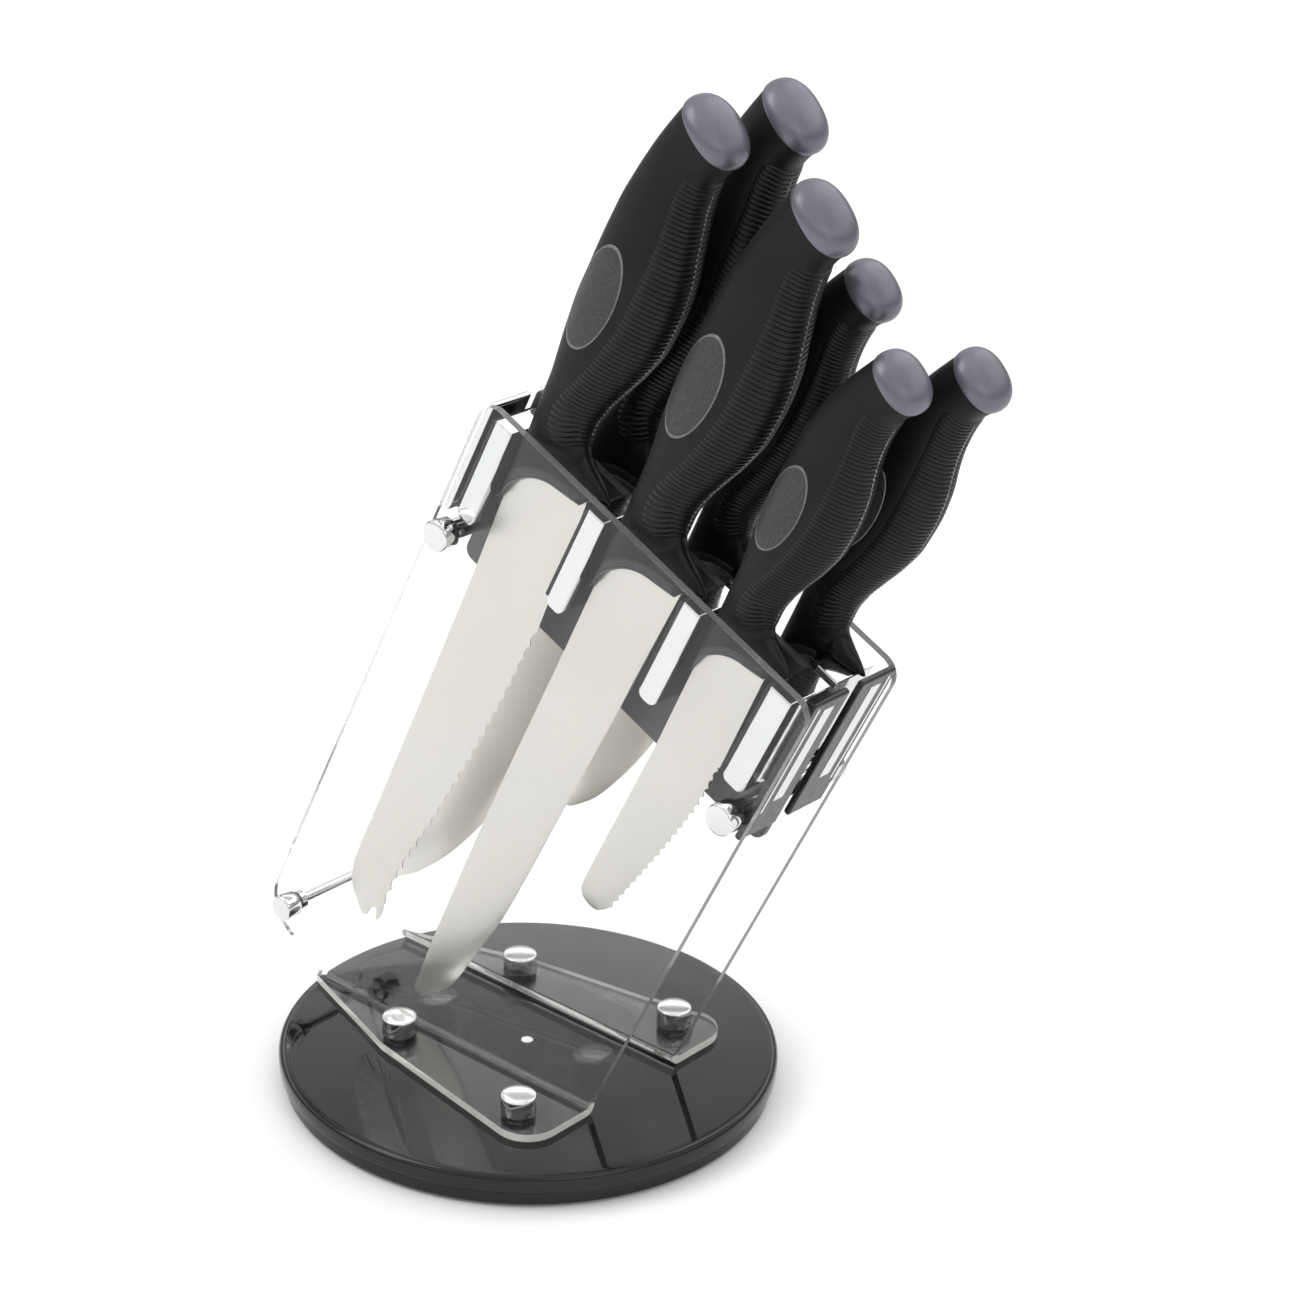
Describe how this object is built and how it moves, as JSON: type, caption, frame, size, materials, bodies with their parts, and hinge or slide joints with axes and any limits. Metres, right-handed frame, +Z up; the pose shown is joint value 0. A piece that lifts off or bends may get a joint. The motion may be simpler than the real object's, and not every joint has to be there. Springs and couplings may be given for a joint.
{
  "type": "knife stand with knives",
  "caption": "Turning countertop stand with a round gloss base, two clear leaning side panels and a slotted holder that keeps kitchen knives in two rows.",
  "frame": {"origin": "centre of the underside of the base, on the swivel axis, on the plane that the feet stand on", "axes": "+Z up along the swivel axis; +X the way the knives and panels lean; Y across the two panels, -Y the row with the bread knife"},
  "size_m": [0.2815, 0.18, 0.3777],
  "materials": {
    "gloss_black": "mirror gloss black acrylic",
    "rubber": "soft black rubber",
    "steel": "plain zinc-plated steel",
    "brass": "turned",
    "white_plastic": "moulded white",
    "clear_acrylic": "clear polished acrylic sheet",
    "chrome": "polished chrome",
    "grey_plastic": "fine satin dark grey",
    "chrome_plastic": "chrome plated moulding",
    "black_plastic": "gloss black moulding",
    "blade_steel": "fine satin blade steel",
    "soft_grip": "soft-touch charcoal",
    "ribbed_rubber": "fine cross-ribbed black rubber",
    "grey_inlay": "stippled grey",
    "satin_cap": "satin grey metal"
  },
  "bodies": {
    "base": {"lower_disc": "gloss_black", "rubber_feet": "rubber", "centre_pad": "rubber", "pivot_bolt": "steel", "lower_race": "steel", "bearing_balls": "steel"},
    "stand": {"top_disc": "gloss_black", "upper_race": "steel", "pivot_bush": "brass", "centre_plug": "white_plastic", "near_panel": "clear_acrylic", "far_panel": "clear_acrylic", "flange_screws": "steel", "flange_caps": "chrome", "divider_plate": "grey_plastic", "near_posts": "chrome_plastic", "far_posts": "chrome_plastic", "near_buffers": "rubber", "far_buffers": "rubber", "front_plates": "black_plastic", "rear_plates": "chrome_plastic", "holder_rods": "chrome", "rod_spacers": "chrome", "rod_caps": "chrome", "low_rod_bar": "chrome", "low_rod_caps": "chrome", "low_rod_collars": "chrome"},
    "bread_knife": {"bread_blade": "blade_steel", "bread_handle": "soft_grip", "bread_grip": "ribbed_rubber", "bread_badges": "grey_inlay", "bread_end_cap": "satin_cap"},
    "carving_knife": {"carving_blade": "blade_steel", "carving_handle": "soft_grip", "carving_grip": "ribbed_rubber", "carving_badges": "grey_inlay", "carving_end_cap": "satin_cap"},
    "utility_knife": {"utility_blade": "blade_steel", "utility_handle": "soft_grip", "utility_grip": "ribbed_rubber", "utility_badges": "grey_inlay", "utility_end_cap": "satin_cap"},
    "chef_knife": {"chef_blade": "blade_steel", "chef_handle": "soft_grip", "chef_grip": "ribbed_rubber", "chef_badges": "grey_inlay", "chef_end_cap": "satin_cap"},
    "broad_knife": {"broad_blade": "blade_steel", "broad_handle": "soft_grip", "broad_grip": "ribbed_rubber", "broad_badges": "grey_inlay", "broad_end_cap": "satin_cap"},
    "paring_knife": {"paring_blade": "blade_steel", "paring_handle": "soft_grip", "paring_grip": "ribbed_rubber", "paring_badges": "grey_inlay", "paring_end_cap": "satin_cap"}
  },
  "joints": [
    {"name": "base_swivel", "type": "hinge", "parent": "base", "child": "stand", "pos_m": [0, 0, 0.0067], "axis": [0, 0, 1], "continuous": true},
    {"name": "bread_draw", "type": "slide", "parent": "stand", "child": "bread_knife", "axis": [0.4352, 0, 0.9003], "range_m": [0, 0.236]},
    {"name": "carving_draw", "type": "slide", "parent": "stand", "child": "carving_knife", "axis": [0.4352, 0, 0.9003], "range_m": [0, 0.248]},
    {"name": "utility_draw", "type": "slide", "parent": "stand", "child": "utility_knife", "axis": [0.4352, 0, 0.9003], "range_m": [0, 0.147]},
    {"name": "chef_draw", "type": "slide", "parent": "stand", "child": "chef_knife", "axis": [0.4352, 0, 0.9003], "range_m": [0, 0.24]},
    {"name": "broad_draw", "type": "slide", "parent": "stand", "child": "broad_knife", "axis": [0.4352, 0, 0.9003], "range_m": [0, 0.147]},
    {"name": "paring_draw", "type": "slide", "parent": "stand", "child": "paring_knife", "axis": [0.4352, 0, 0.9003], "range_m": [0, 0.092]}
  ]
}
